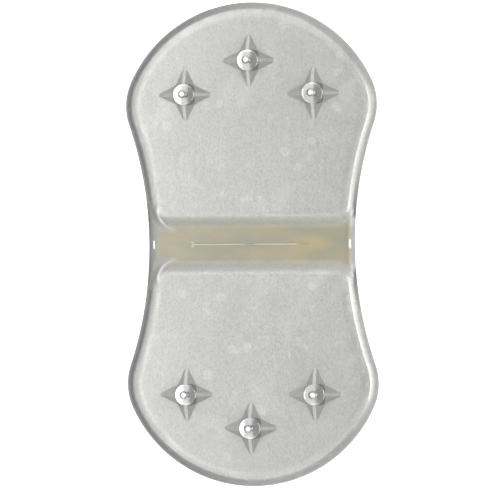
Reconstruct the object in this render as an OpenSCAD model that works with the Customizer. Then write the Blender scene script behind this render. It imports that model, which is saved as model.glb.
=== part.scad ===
// Snowboard stomp pad: a moulded grip pad that is bonded to the board between
// the bindings, for a boot that is out of its binding. Two raised lobes meet at
// a thin hinge web across the waist. Each lobe carries three turned metal studs
// on star-shaped bosses, and has foam bonding tape and a release liner below.
//
// The frame has +Z up towards the boot, +Y along the pad towards the front lobe
// and X across it. The origin is on the surface below the middle of the web.
// All lengths are in millimetres.

/* [Outline] */
// Overall length, from the front end to the rear end
pad_length = 146; // [140:0.5:156]
// Width across the waist, where the hinge web is
waist_w = 63; // [56:0.5:68]
// Radius of the round end of a lobe
cap_r = 40.5; // [38.5:0.5:43]
// Radius of the shoulder between the round end and the flank
shoulder_r = 17.5; // [12:0.5:22]
// Radius of the hollow flank beside the waist
flank_r = 113; // [95:1:140]

/* [Lobes] */
// Height of a lobe's flat top above its underside
lobe_h = 3.1; // [2.8:0.05:4.5]
// Height of the upright edge at the foot of the lobe
edge_h = 0.45; // [0.3:0.05:0.8]
// Height at which the rounded edge band meets the soft shoulder
band_h = 2.6; // [1.9:0.05:2.65]
// Width of the edge band in plan
band_w = 2.2; // [1.6:0.05:2.5]
// How much the edge band bulges: 1 is a straight bevel
band_bulge = 1.6; // [1:0.05:2]
// Width of the soft shoulder inside the edge band
soft_w = 3; // [2.2:0.05:3.3]
// Radius of the lobe's inner corners at the valley
corner_r = 7; // [6:0.25:9]

/* [Hinge web] */
// Thickness of the web
web_t = 1.3; // [1:0.05:1.6]
// Length of the web along the pad, from lobe to lobe
web_len = 9; // [7:0.25:11]
// Length of the valley wall that rises from the web to the lobe's top
valley_w = 5; // [3.6:0.1:6]
// Length of the crease across the web
crease_len = 37; // [20:0.5:46]
// Width of the crease
crease_w = 0.8; // [0.5:0.05:1.4]
// Depth of the crease
crease_depth = 0.35; // [0.2:0.05:0.6]
// Width of the relief slot at each end of the fold line
slot_w = 0.85; // [0.6:0.05:1.4]
// Length of a relief slot along the pad
slot_len = 2.7; // [1.8:0.1:4]
// Wall left between a relief slot and the pad's edge
slot_wall = 1.15; // [0.9:0.05:2]

/* [Star bosses] */
// Distance of the outer studs from the pad's middle line
side_x = 19.6; // [16:0.2:21]
// Distance of the outer studs from the fold line
side_y = 45.2; // [40:0.2:48]
// Distance of the middle stud from the fold line
mid_y = 55.3; // [53:0.2:57]
// Reach of each of the four arms from the boss's axis
arm_reach = 7.95; // [6.75:0.05:8.75]
// Half width of an arm's blunt tip
arm_tip = 0.42; // [0.2:0.02:0.6]
// Growth of an arm's half width for each millimetre from its tip
arm_taper = 0.48; // [0.36:0.02:0.54]
// Radius of the boss's round collar at its foot
collar_foot_r = 3.9; // [3.6:0.05:4.2]
// Height of the collar above the lobe's flat top
collar_h = 2.7; // [2.3:0.1:3.4]

/* [Studs] */
// Radius of the stud's skirt, which is also that of the collar's top
skirt_r = 3.2; // [2.8:0.05:3.4]
// Thickness of the skirt's rim
skirt_t = 0.3; // [0.2:0.05:0.5]
// Rise of the coned skirt from its rim to the fillet at the neck
cone_rise = 0.12; // [0:0.02:0.4]
// Radius where that fillet leaves the skirt
flare_r = 1.05; // [1:0.05:2]
// Height of the fillet above the coned skirt
flare_h = 0.2; // [0.1:0.05:0.6]
// Radius of the neck
neck_r = 0.85; // [0.6:0.05:1]
// Radius of the ball at the tip
ball_r = 1.25; // [1.1:0.05:1.5]
// Height of the ball's centre above the skirt's underside
ball_rise = 3.2; // [2.5:0.1:3.8]
// Radius of the shank that is pressed into the boss
shank_r = 1.2; // [1:0.05:1.5]
// How far the retaining rib stands out from the shank
rib_out = 0.3; // [0.15:0.05:0.5]
// Height of the retaining rib
rib_h = 0.8; // [0.5:0.05:1.2]
// Distance of the rib's underside above the lobe's underside
rib_z = 1.4; // [1.1:0.1:1.8]
// Distance of the shank's foot above the lobe's underside
shank_gap = 0.3; // [0.15:0.05:0.6]

/* [Backing] */
// Thickness of the foam bonding tape
tape_t = 0.8; // [0.4:0.05:1.2]
// Distance of the tape's edge inside the lobe's edge
tape_inset = 1.2; // [0.8:0.1:3]
// Thickness of the release liner
liner_t = 0.15; // [0.1:0.01:0.3]
// How far the liner stands out past the tape
liner_lip = 0.4; // [0.1:0.1:0.7]

/* [Fits] */
// Clearance around a stud's shank and rib, and under its skirt
stud_fit = 0.02; // [0.01:0.005:0.05]

/* [Hidden] */

// Segments along each stretch of the outline. The corner's are an even number
FLANK_STEPS = 10;
SHOULDER_STEPS = 7;
CAP_STEPS = 18;
CORNER_STEPS = 8;
// Rings up the band as high as the web, up the rest of it and over the soft shoulder
FOOT_STEPS = 3;
BAND_STEPS = 4;
SOFT_STEPS = 5;
// Points along one side of a boss's arm, and rings up the boss
ARM_STEPS = 6;
BOSS_STEPS = 3;
// Points along the fillet at a stud's neck
FLARE_STEPS = 6;
// How closely the points along an arm crowd towards its tip
ARM_CROWD = 1.6;
// How deep a boss is rooted in the lobe
ROOT = 0.3;
// How far a cutting shape runs past the face that it cuts
PAST = 0.5;
// Facets of a round part, which the exact solids take as a true circle
ROUND = 64;

LOBE_COLOR = [0.78, 0.78, 0.76];
WEB_COLOR = [0.66, 0.64, 0.55];
STUD_COLOR = [0.75, 0.76, 0.77];
TAPE_COLOR = [0.6, 0.61, 0.61];
LINER_COLOR = [0.93, 0.92, 0.88];

// Heights of the layers above the surface that the pad lies on
tape_z = liner_t;
mould_z = tape_z + tape_t;
top_z = mould_z + lobe_h;
web_half = web_len / 2;
seat_z = top_z + collar_h;

// Centres of the outline's three arcs on the +X side of the front lobe. The
// shoulder touches the end arc from inside and the flank arc from outside.
flank_c = [waist_w / 2 + flank_r, 0];
cap_c = [0, pad_length / 2 - cap_r];
shoulder_c = meeting(cap_c, cap_r - shoulder_r, flank_c, flank_r + shoulder_r);
flank_end = bearing(flank_c - shoulder_c);
cap_start = bearing(shoulder_c - cap_c);

// Direction of a vector in the plane, in degrees
function bearing(v) = atan2(v.y, v.x);

// The upper of the two points at distance ra from a and rb from b
function meeting(a, ra, b, rb) =
    let (
        gap = norm(b - a),
        along = (ra * ra - rb * rb + gap * gap) / (2 * gap),
        aside = sqrt(ra * ra - along * along),
        u = (b - a) / gap
    )
    a + along * u + aside * [-u.y, u.x];

// Points of an arc about c, from one bearing to another
function arc(c, r, from, to, steps) =
    [for (i = [0 : steps]) let (a = from + (to - from) * i / steps) c + r * [cos(a), sin(a)]];

// The same arc without its first point, to follow on from another
function arc_on(c, r, from, to, steps) =
    [for (i = [1 : steps]) let (a = from + (to - from) * i / steps) c + r * [cos(a), sin(a)]];

// A half outline on the +X side, closed by its mirror image on the -X side
function both_sides(half) =
    let (n = len(half))
    concat(half, [for (i = [n - 2 : -1 : 0]) [-half[i].x, half[i].y]]);

// Shoulder and round end of the outline, moved in by inset
function far_half(inset) = concat(
    arc_on(shoulder_c, shoulder_r - inset, flank_end, cap_start, SHOULDER_STEPS),
    arc_on(cap_c, cap_r - inset, cap_start, 90, CAP_STEPS)
);

// Centre of a lobe's inner corner of radius r, where its inner edge is at y
function corner_centre(y, inset, r) =
    let (reach = flank_r + inset + r)
    [flank_c.x - sqrt(reach * reach - (y + r) * (y + r)), y + r];

// Outline of a lobe with round inner corners of radius r and its inner edge at y
function round_outline(y, inset, r) =
    let (corner = corner_centre(y, inset, r), turn = bearing(flank_c - corner))
    both_sides(concat(
        arc(corner, r, -90, turn, CORNER_STEPS),
        arc_on(flank_c, flank_r + inset, 180 + turn, 180 + flank_end, FLANK_STEPS),
        far_half(inset)
    ));

// Outline of the lobe's foot, cut off square at the web, point for point as
// above. Its inset goes from bevel at the web to inset where the corner ends.
function square_outline(bevel, inset) =
    let (
        half = CORNER_STEPS / 2,
        inner = corner_centre(web_half, inset, corner_r),
        turn = bearing(flank_c - inner),
        first = -asin(web_half / (flank_r + bevel)),
        end = flank_c.x - (flank_r + bevel) * cos(first)
    )
    both_sides(concat(
        [for (i = [0 : half]) [inner.x + (end - inner.x) * i / half, web_half]],
        [for (i = [1 : half])
            let (
                a = 180 + first + (turn - first) * i / half,
                r = flank_r + bevel + (inset - bevel) * i / half
            )
            flank_c + r * [cos(a), sin(a)]],
        arc_on(flank_c, flank_r + inset, 180 + turn, 180 + flank_end, FLANK_STEPS),
        far_half(inset)
    ));

// The inset of a lobe's edge at height z: a bulging band, then a quarter sine wave
function edge_inset(z) =
    z <= band_h
        ? band_w * pow(max(z - edge_h, 0) / (band_h - edge_h), band_bulge)
        : band_w + soft_w * asin((z - band_h) / (lobe_h - band_h)) / 90;

// How far the valley wall has moved along the pad at height z: a cosine ramp
function valley_run(z) = valley_w * acos(1 - 2 * max(z - web_t, 0) / (lobe_h - web_t)) / 180;

// The inset of the bevel beside the web at height z
function bevel_inset(z) = band_w * max(z - edge_h, 0) / (web_t - edge_h);

// Heights of the rings that make a lobe: up to the web's height, and on to the flat top
foot_levels = [for (i = [0 : FOOT_STEPS]) edge_h + (web_t - edge_h) * i / FOOT_STEPS];
raised_levels = concat(
    [for (i = [1 : BAND_STEPS]) web_t + (band_h - web_t) * i / BAND_STEPS],
    [for (i = [1 : SOFT_STEPS]) band_h + (lobe_h - band_h) * sin(90 * i / SOFT_STEPS)]
);

// Directions of a boss's points within 45 degrees of an arm, crowded to its tip
tip_angle = atan(arm_tip / arm_reach);
side_angles = [
    for (i = [0 : ARM_STEPS])
        tip_angle + (45 - tip_angle) * pow(i / ARM_STEPS, ARM_CROWD)
];
arm_angles = concat([for (i = [ARM_STEPS - 1 : -1 : 0]) -side_angles[i]], side_angles);

// Radius of the boss's foot at angle a from an arm: straight sides and a blunt
// tip, and never inside the collar
function foot_r(a) =
    let (side = (arm_tip + arm_reach * arm_taper) / (tan(abs(a)) + arm_taper))
    max(min(side, arm_reach) / cos(a), collar_foot_r);

// Star-shaped ring of a boss at share t of its height, on its way to the round seat
function star_ring(t) = [
    for (turn = [0 : 90 : 270], a = arm_angles)
        let (r = foot_r(a) + (skirt_r - foot_r(a)) * t)
        r * [cos(turn + a), sin(turn + a)]
];

// Stud axes of the front lobe, from the left to the right
stud_spots = [[-side_x, side_y], [0, mid_y], [side_x, side_y]];

function at_height(outline, z) = [for (p = outline) [p.x, p.y, z]];

// The middle of a ring's points, from which each ring here can be seen whole
function middle(ring) = [for (p = ring) 1] * ring / len(ring);

// A closed skin over rings of equal length, each counter-clockwise seen from the
// last, with a fan of triangles about the middle of each end
module loft(rings) {
    n = len(rings[0]);
    last = len(rings) - 1;
    hub = n * len(rings);
    polyhedron(
        points = concat([for (ring = rings) each ring], [middle(rings[0]), middle(rings[last])]),
        faces = concat(
            [for (i = [0 : n - 1]) [hub, i, (i + 1) % n]],
            [for (k = [0 : last - 1], i = [0 : n - 1])
                [k * n + i, (k + 1) * n + i, (k + 1) * n + (i + 1) % n]],
            [for (k = [0 : last - 1], i = [0 : n - 1])
                [k * n + i, (k + 1) * n + (i + 1) % n, k * n + (i + 1) % n]],
            [for (i = [0 : n - 1]) [hub + 1, last * n + (i + 1) % n, last * n + i]]
        ),
        convexity = 4
    );
}

// Star boss around a stud: four arms that fall straight from the skirt's seat
module star_boss() {
    loft(concat(
        [at_height(star_ring(0), -ROOT)],
        [for (i = [0 : BOSS_STEPS]) at_height(star_ring(i / BOSS_STEPS), collar_h * i / BOSS_STEPS)]
    ));
}

// A lobe without its bosses: edge, rounded band, soft shoulder and flat top
module lobe_shell() {
    loft(concat(
        [at_height(square_outline(0, 0), 0)],
        [for (z = foot_levels) at_height(square_outline(bevel_inset(z), edge_inset(z)), z)],
        [for (z = raised_levels)
            at_height(
                round_outline(web_half + valley_run(z), edge_inset(z), corner_r - edge_inset(z)),
                z
            )]
    ));
}

// Bore through a boss for the shank, with the groove that its rib snaps into
module stud_bore() {
    translate([0, 0, -PAST])
        cylinder(h = lobe_h + collar_h + 2 * PAST, r = shank_r + stud_fit, $fn = ROUND);
    translate([0, 0, rib_z - stud_fit])
        cylinder(h = rib_h + 2 * stud_fit, r = shank_r + rib_out + stud_fit, $fn = ROUND);
}

// One lobe of the moulding, drawn as the front one with its underside at z = 0
module lobe() {
    difference() {
        union() {
            lobe_shell();
            for (spot = stud_spots)
                translate([spot.x, spot.y, lobe_h])
                    star_boss();
        }
        for (spot = stud_spots)
            translate(spot)
                stud_bore();
    }
}

module front_lobe() {
    color(LOBE_COLOR)
        translate([0, 0, mould_z])
            lobe();
}

module rear_lobe() {
    color(LOBE_COLOR)
        translate([0, 0, mould_z])
            rotate([0, 0, 180])
                lobe();
}

// Outline of the web between the lobes, moved in by inset along both flanks
function web_outline(inset) =
    let (turn = asin(web_half / (flank_r + inset)))
    concat(
        arc(flank_c, flank_r + inset, 180 + turn, 180 - turn, FLANK_STEPS),
        arc(-flank_c, flank_r + inset, turn, -turn, FLANK_STEPS)
    );

// Notch along the fold line, a triangle in section
module crease() {
    translate([-crease_len / 2, 0, web_t - crease_depth])
        rotate([90, 0, 90])
            linear_extrude(height = crease_len)
                polygon([
                    [0, 0],
                    [crease_w / 2 * (1 + PAST / crease_depth), crease_depth + PAST],
                    [-crease_w / 2 * (1 + PAST / crease_depth), crease_depth + PAST]
                ]);
}

// Slot that ends the fold line before it reaches the pad's edge
module relief_slot() {
    straight = slot_len - slot_w;
    translate([waist_w / 2 - slot_wall - slot_w / 2, 0, -PAST]) {
        translate([-slot_w / 2, -straight / 2, 0])
            cube([slot_w, straight, web_t + 2 * PAST]);
        for (side = [-1, 1])
            translate([0, side * straight / 2, 0])
                cylinder(h = web_t + 2 * PAST, r = slot_w / 2, $fn = ROUND);
    }
}

// Thin flexible web that joins the lobes and folds along its crease
module hinge_web() {
    color(WEB_COLOR)
        translate([0, 0, mould_z])
            difference() {
                loft([
                    at_height(web_outline(0), 0),
                    at_height(web_outline(0), edge_h),
                    at_height(web_outline(band_w), web_t)
                ]);
                crease();
                for (turn = [0, 180])
                    rotate([0, 0, turn])
                        relief_slot();
            }
}

// Half section of the concave fillet between the coned skirt and the neck
function flare_points(steps) = [
    for (i = [0 : steps])
        let (a = 90 * i / steps)
        [flare_r - (flare_r - neck_r) * sin(a), skirt_t + cone_rise + flare_h * (1 - cos(a))]
];

// Turned metal stud with its skirt's underside at z = 0
module stud() {
    rotate_extrude($fn = ROUND)
        polygon(concat(
            [[0, 0], [skirt_r, 0], [skirt_r, skirt_t]],
            flare_points(FLARE_STEPS),
            [[neck_r, ball_rise], [0, ball_rise]]
        ));
    translate([0, 0, ball_rise])
        sphere(r = ball_r, $fn = ROUND);
    depth = lobe_h + collar_h - shank_gap;
    translate([0, 0, -depth])
        cylinder(h = depth, r = shank_r, $fn = ROUND);
    translate([0, 0, rib_z - lobe_h - collar_h])
        cylinder(h = rib_h, r = shank_r + rib_out, $fn = ROUND);
}

// A stud on one of the front lobe's axes, or on the rear lobe's with end = -1
module placed_stud(which, end) {
    color(STUD_COLOR)
        translate([stud_spots[which].x, end * stud_spots[which].y, seat_z + stud_fit])
            stud();
}

module front_left_stud() { placed_stud(0, 1); }
module front_middle_stud() { placed_stud(1, 1); }
module front_right_stud() { placed_stud(2, 1); }
module rear_left_stud() { placed_stud(0, -1); }
module rear_middle_stud() { placed_stud(1, -1); }
module rear_right_stud() { placed_stud(2, -1); }

// Sheet under a lobe's raised part, moved in by inset from the lobe's edge
module backing(inset, thickness) {
    linear_extrude(height = thickness)
        polygon(round_outline(web_half + valley_w - tape_inset + inset, inset, corner_r - inset));
}

// Foam tape that bonds a lobe to the board
module tape() {
    color(TAPE_COLOR)
        translate([0, 0, tape_z])
            backing(tape_inset, tape_t);
}

// Paper liner that covers the tape until the pad is fitted
module liner() {
    color(LINER_COLOR)
        backing(tape_inset - liner_lip, liner_t);
}

module front_tape() { tape(); }
module rear_tape() { rotate([0, 0, 180]) tape(); }
module front_liner() { liner(); }
module rear_liner() { rotate([0, 0, 180]) liner(); }

front_lobe();
rear_lobe();
hinge_web();
front_left_stud();
front_middle_stud();
front_right_stud();
rear_left_stud();
rear_middle_stud();
rear_right_stud();
front_tape();
rear_tape();
front_liner();
rear_liner();
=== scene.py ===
"""Studio scene of a snowboard stomp pad: its soft moulding, turned studs, bonding
tape and release liners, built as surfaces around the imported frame."""

import math

import bpy
import numpy as np
from bpy.props import FloatProperty, FloatVectorProperty, PointerProperty
from mathutils import Matrix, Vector
from mathutils.geometry import delaunay_2d_cdt


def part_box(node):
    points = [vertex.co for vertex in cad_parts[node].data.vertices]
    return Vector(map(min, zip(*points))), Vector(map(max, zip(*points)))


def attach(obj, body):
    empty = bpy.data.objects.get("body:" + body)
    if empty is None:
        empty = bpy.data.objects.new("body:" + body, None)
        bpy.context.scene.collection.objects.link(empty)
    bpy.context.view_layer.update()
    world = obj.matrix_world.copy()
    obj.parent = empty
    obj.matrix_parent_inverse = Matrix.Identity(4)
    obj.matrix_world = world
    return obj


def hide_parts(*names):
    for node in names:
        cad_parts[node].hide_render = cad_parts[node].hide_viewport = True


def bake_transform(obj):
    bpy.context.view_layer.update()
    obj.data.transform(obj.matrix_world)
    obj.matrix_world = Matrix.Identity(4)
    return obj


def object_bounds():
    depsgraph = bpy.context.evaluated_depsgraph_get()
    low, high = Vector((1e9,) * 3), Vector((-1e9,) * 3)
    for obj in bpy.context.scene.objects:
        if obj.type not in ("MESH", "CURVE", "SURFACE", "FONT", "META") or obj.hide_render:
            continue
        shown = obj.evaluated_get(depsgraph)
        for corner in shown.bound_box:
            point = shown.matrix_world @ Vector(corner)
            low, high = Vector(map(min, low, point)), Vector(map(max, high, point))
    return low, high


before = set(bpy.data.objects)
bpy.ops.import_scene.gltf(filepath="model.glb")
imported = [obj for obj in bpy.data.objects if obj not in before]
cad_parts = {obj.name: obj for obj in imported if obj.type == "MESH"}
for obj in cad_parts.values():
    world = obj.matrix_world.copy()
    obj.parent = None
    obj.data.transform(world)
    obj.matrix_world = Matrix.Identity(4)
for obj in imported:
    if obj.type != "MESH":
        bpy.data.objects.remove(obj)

bl_info = {
    "name": "Stomp pad studio",
    "version": (1, 0, 0),
    "blender": (4, 5, 0),
    "location": "View3D > Sidebar > Stomp pad",
    "description": "Builds the surfaces, finishes and studio of a snowboard stomp pad",
    "category": "Add Mesh",
}

MM = 0.001
CAD_BOX = [list(corner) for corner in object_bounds()]
ENDS = {"front": 1, "rear": -1}

# Points along each stretch of half an outline
INNER_STEPS = 20
CORNER_STEPS = 24
FLANK_STEPS = 30
SHOULDER_STEPS = 24
CAP_STEPS = 60
# Rings up each part of the lobe's edge, how far along the valley wall's first ring lies,
# and how far its last ring stays below the band's top
BEVEL_STEPS = 4
RAMP_STEPS = 22
RAMP_START = 0.06
SOFT_STEPS = 14
RING_GAP = 0.02 * MM
# Directions round a star boss, on each side of an arm, and how closely they crowd at its
# ridge, rings up it, the share of the collar that has rings of its own, and the widest a
# ridge's land may be as a share of the arm
ARM_STEPS = 32
ARM_CROWDING = 1.4
BOSS_STEPS = 26
COLLAR_STEPS = 5
COLLAR_SHARE = 0.35
LAND_SHARE = 0.9
# Steps along the web's flanks, its cuts, its crease and a slot's round end, and in the grid
# between, how far the grid stays off slots and crease, and the crease's run-out
WEB_ROWS = 24
WEB_COLUMNS = 72
CREASE_STEPS = 74
SLOT_STEPS = 12
GRID_STEPS = (80, 36)
SLOT_GAP = 0.12 * MM
CREASE_GAP = (0.2 * MM, 0.1 * MM)
CREASE_RUN = 0.8 * MM
# Steps around a turned stud and along its rim, flare and ball, its shank's chamfer, and how
# far its section stops short of the axis
TURN_STEPS = 72
RIM_STEPS = 8
FLARE_STEPS = 16
BALL_STEPS = 39
SHANK_CHAMFER = 0.15 * MM
AXIS_GAP = 0.01 * MM
# Steps round the rim of a sheet, and the radii of its rims
SHEET_STEPS = 4
TAPE_ROUNDING = 0.12 * MM
LINER_ROUNDING = 0.04 * MM
# Angles in degrees past which an edge between two faces is sharp
LOBE_SHARP, WEB_SHARP, STUD_SHARP, SHEET_SHARP = 38, 25, 40, 50

# The silver ground behind the moulding: how far its edge lies in from the pad's edge, how
# far it is shifted towards +X, which paints the clear rim wider along the -X side as painted
# shade, and the width over which its edge blurs
GROUND_INSET = 0.3 * MM
RIM_SHADE_SHIFT = 1.65 * MM
GROUND_BLUR = 0.9 * MM
# A painted highlight, a light line round the rounded foot of an inner corner on the -X side:
# its radius, its inset from the flank, how far past the foot of the valley wall it runs, its
# blur, the angle over which its ends fade, and its strength: all along, and added towards the
# flank
FILLET_RADIUS = 6.2 * MM
FILLET_INSET = 3.5 * MM
FILLET_DROP = 0.3 * MM
FILLET_BLUR = 0.5 * MM
FILLET_FADE = math.radians(24)
FILLET_STRENGTH = (0.14, 0.34)
# The wedge outside that line, on the -X side, which takes the clear rim's darker colour as
# painted shade and is made rougher: its distance from the fold line, and its fade
WEDGE_START = 3.0 * MM
WEDGE_FADE = 1.5 * MM
# Where the rim is palest beside the waist, how far that fades, and the width of the line of
# painted shade along the edge there
WAIST_NEAR = 6 * MM
WAIST_FADE = 18 * MM
EDGE_LINE = 0.85 * MM
# The band across the web's -X end, which takes the clear rim's darker colour as painted
# shade and is made rougher: its width, and the width over which it blurs
WEB_BAND = 2.8 * MM
WEB_BLUR = 1.6 * MM
# How far a boss's face may lean across and along the pad on a ridge, which gets painted
# light, and on the spines beside it, which get painted shade and lean across by SPINE_AT
# themselves, and where these shares fade
RIDGE_LEAN = (0.22, 0.55)
SPINE_LEAN = (0.2, 0.3)
SPINE_AT = 0.49
LEAN_FADE = (0.85, 1.3)
# Upward share of a normal below which a face is steep, and below which it is fully so;
# steep faces that lean towards +X get painted shade
STEEP = (0.5, 0.3)
# The whitened line of the crease: the place, half length and depth of its gap, and how far
# before its +X end it pales, over what length and by how much
GAP_AT, GAP_SIZE, GAP_LOSS = -0.4 * MM, 1.7 * MM, 0.5
TAIL_LENGTH, TAIL_FADE, TAIL_LOSS = 5 * MM, 1.5 * MM, 0.6
# The fork at its other end: its root, slope, width and strength, and where its branches
# fade in and out, and over what length
FORK_ROOT, FORK_SLOPE, FORK_WIDTH, FORK_SHARE = 1.2 * MM, 0.8, 0.2 * MM, 0.6
FORK_IN = (1.3 * MM, 0.4 * MM)
FORK_OUT = (0.4 * MM, 0.8 * MM)
# A stud's neck and the ball's underside carry painted shade from this height over the
# skirt's underside up to the ball
NECK_SHADE_START = 0.45 * MM

# Smooth noise in the finishes: cycles per metre along X, Y and Z, turn about Z, detail and
# roughness
NOISES = {
    "clouds": ((55, 48, 55), 0.0, 4.0, 0.6),
    "streaks": ((900, 70, 300), 0.12, 3.0, 0.6),
    "patches": ((75, 60, 75), 0.3, 5.0, 0.62),
    "mottle": ((700, 700, 700), 0.0, 3.0, 0.7),
    "grain": ((3500, 1700, 2600), 0.0, 2.0, 0.6),
    "wisps_a": ((1150, 320, 1150), 0.6, 2.0, 0.65),
    "wisps_b": ((1150, 320, 1150), 1.7, 2.0, 0.65),
    "wisps_c": ((1150, 320, 1150), 2.7, 2.0, 0.65),
    "wisp_places": ((90, 80, 90), 0.0, 3.0, 0.55),
    "air_places": ((160, 160, 160), 0.0, 2.0, 0.55),
    "ageing": ((120, 160, 120), 0.0, 4.0, 0.55),
    "warmth": ((95, 210, 95), 0.1, 3.0, 0.55),
    "gloss": ((240, 150, 240), 0.0, 4.0, 0.55),
    "scratches": ((900, 2600, 2600), 0.7, 2.0, 0.7),
    "tarnish": ((900, 900, 900), 0.0, 3.0, 0.55),
    "turning": ((200, 200, 14000), 0.0, 1.0, 0.55),
    "foam": ((300, 300, 600), 0.0, 3.0, 0.55),
    "fibres_a": ((400, 3400, 400), 0.4, 4.0, 0.65),
    "fibres_b": ((3000, 500, 400), -0.3, 4.0, 0.65),
    "handling": ((60, 60, 60), 0.0, 4.0, 0.55),
    "sweep": ((6, 6, 6), 0.0, 3.0, 0.55),
}
# Cells in the finishes, in cycles per metre, and how far and how finely the chips' outlines
# are torn
AIR_CELLS = (420, 420, 420)
CHIP_CELLS = (250, 280, 250)
FOAM_CELLS = (5200, 5200, 5200)
CHIP_TEAR, CHIP_TEAR_SCALE = 0.5, 420.0
# The patch of painted glow on the web, light through the urethane shown as its deepest
# yellow: its scale, its place in that scale, and the distances in it at which the patch has
# faded and is full
GLOW_PATCH_SCALE = (130, 330, 1)
GLOW_PATCH_PLACE = (-2.45, -0.1, 0)
GLOW_PATCH_FADE = (1.15, 0.3)
# Depths in the valley over which the silver greys, and the grey ages to amber
GREYING = (-0.05, 0.6)
AGEING = (0.3, 1.05)

# The studio's ceiling light: its direction, the angles off it where its light starts and
# is full, and its strength
CEILING_AXIS = (-0.259, 0.0, 0.966)
CEILING_FADE = (60, 18)
CEILING_LIGHT = 0.2
# The dome: where along X its light changes, and its strength towards -X and towards +X
DOME_FADE = (-0.75, 0.5)
DOME_LIGHT = (0.36, 1.1)
# Softboxes: place, width, height and radiance
LIGHTS = {
    "key_light": ((-0.15, 0.015, 0.265), 0.1, 0.46, 7.4),
    "near_light": ((-0.26, 0.01, 1.17), 0.316, 1.8, 1.9),
    "edge_light": ((0.84, 0.0, 0.78), 0.55, 1.1, 11.5),
    "top_fill": ((0.0, 0.5, 0.5), 0.42, 0.62, 3.6),
    "bottom_fill": ((0.0, -0.5, 0.5), 0.42, 0.62, 3.0),
}
# The floor's corners
FLOOR = ((-3, -3, 0), (3, -3, 0), (3, 3, 0), (-3, 3, 0))
# The camera: its tilt towards +X and its roll in degrees, its distance from its aim, the
# width that it sees there, and its sensor's width in millimetres
CAMERA_TILT = 10.0
CAMERA_ROLL = -0.37
CAMERA_DISTANCE = 1.15
CAMERA_AIM = (-0.3 * MM, -1.73 * MM, 2.5 * MM)
VIEW_WIDTH = 150.65 * MM
SENSOR = 36


def node_box(node):
    """Lowest corner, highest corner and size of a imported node."""
    low, high = (np.array(corner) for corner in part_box(node))
    return low, high, high - low


def length(label, description, default):
    """A length property in scene units."""
    return FloatProperty(
        name=label, description=description, default=default, min=0.0, precision=5, unit="LENGTH"
    )


def number(label, description, default):
    """A plain number property."""
    return FloatProperty(name=label, description=description, default=default)


def colour(label, description, default):
    """A colour property, scene linear."""
    return FloatVectorProperty(
        name=label, description=description, default=default, min=0.0, max=1.0, subtype="COLOR"
    )


WEB_LOW, _, WEB_SIZE = node_box("hinge_web")
STUD_SIZE = node_box("front_left_stud")[2]


class PadShape(bpy.types.PropertyGroup):
    """Sizes of the moulding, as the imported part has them."""

    pad_length: length("Length", "Overall length of the pad", CAD_BOX[1][1] - CAD_BOX[0][1])
    waist_width: length("Waist", "Width of the pad at its waist", 63 * MM)
    cap_radius: length("End radius", "Radius of the round end of a lobe", 40.5 * MM)
    shoulder_radius: length("Shoulder radius", "Radius between the end and the flank", 17.5 * MM)
    flank_radius: length("Flank radius", "Radius of the hollow flank", 113 * MM)
    base_height: length("Underside", "Height of the moulding's underside", WEB_LOW[2])
    lobe_height: length("Lobe height", "Height of a lobe's flat top over its underside", 3.1 * MM)
    edge_height: length("Edge height", "Height of the upright edge", 0.45 * MM)
    band_height: length("Band height", "Height where the band meets the soft shoulder", 2.6 * MM)
    band_width: length("Band width", "Width of the edge band in plan", 2.2 * MM)
    band_bulge: number("Band bulge", "How much the band bulges, 1 being straight", 1.6)
    soft_width: length("Soft width", "Width of the soft shoulder in plan", 3.0 * MM)
    corner_radius: length("Corner radius", "Radius of a lobe's inner corners", 7 * MM)
    web_thickness: length("Web thickness", "Thickness of the hinge web", WEB_SIZE[2])
    web_length: length("Web length", "Length of the hinge web", WEB_SIZE[1])
    valley_width: length("Valley wall", "Length of the wall from the web to a lobe's top", 5 * MM)
    crease_length: length("Crease length", "Length of the crease across the web", 37 * MM)
    crease_width: length("Crease width", "Width of the crease", 0.8 * MM)
    crease_depth: length("Crease depth", "Depth of the crease", 0.35 * MM)
    slot_width: length("Slot width", "Width of a relief slot", 0.75 * MM)
    slot_length: length("Slot length", "Length of a relief slot", 2.7 * MM)
    slot_wall: length("Slot wall", "Wall between a relief slot and the edge", 1.15 * MM)


class BossShape(bpy.types.PropertyGroup):
    """Sizes of the star bosses."""

    side_x: length("Side studs X", "Distance of the outer studs from the middle line", 19.6 * MM)
    side_y: length("Side studs Y", "Distance of the outer studs from the fold", 45.2 * MM)
    middle_y: length("Middle stud Y", "Distance of the middle stud from the fold", 55.3 * MM)
    arm_reach: length("Arm reach", "Reach of an arm from the boss's axis", 7.95 * MM)
    arm_tip: length("Arm tip", "Half width of an arm's blunt tip", 0.42 * MM)
    arm_taper: number("Arm taper", "Growth of an arm's half width along it", 0.48)
    ridge_land: length("Ridge land", "Half width of the flat land on a ridge", 0.5 * MM)
    collar_radius: length("Collar radius", "Radius of the collar at its foot", 3.9 * MM)
    collar_height: length("Collar height", "Height of the collar over the lobe's top", 2.7 * MM)


class StudShape(bpy.types.PropertyGroup):
    """Sizes of the turned studs."""

    skirt_radius: length("Skirt radius", "Radius of the skirt", STUD_SIZE[0] / 2)
    skirt_thickness: length("Skirt rim", "Thickness of the skirt's rim", 0.3 * MM)
    cone_rise: length("Skirt rise", "Rise of the coned skirt from its rim to the flare", 0.14 * MM)
    flare_radius: length("Flare radius", "Radius where the flare leaves the skirt", 1.05 * MM)
    flare_height: length("Flare height", "Height of the flare over the coned skirt", 0.2 * MM)
    neck_radius: length("Neck radius", "Radius of the neck", 0.85 * MM)
    ball_radius: length("Ball radius", "Radius of the ball at the tip", 1.25 * MM)
    ball_rise: length("Ball rise", "Height of the ball's centre over the boss", 3.2 * MM)
    shank_radius: length("Shank radius", "Radius of the shank in the boss", 1.2 * MM)


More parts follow.
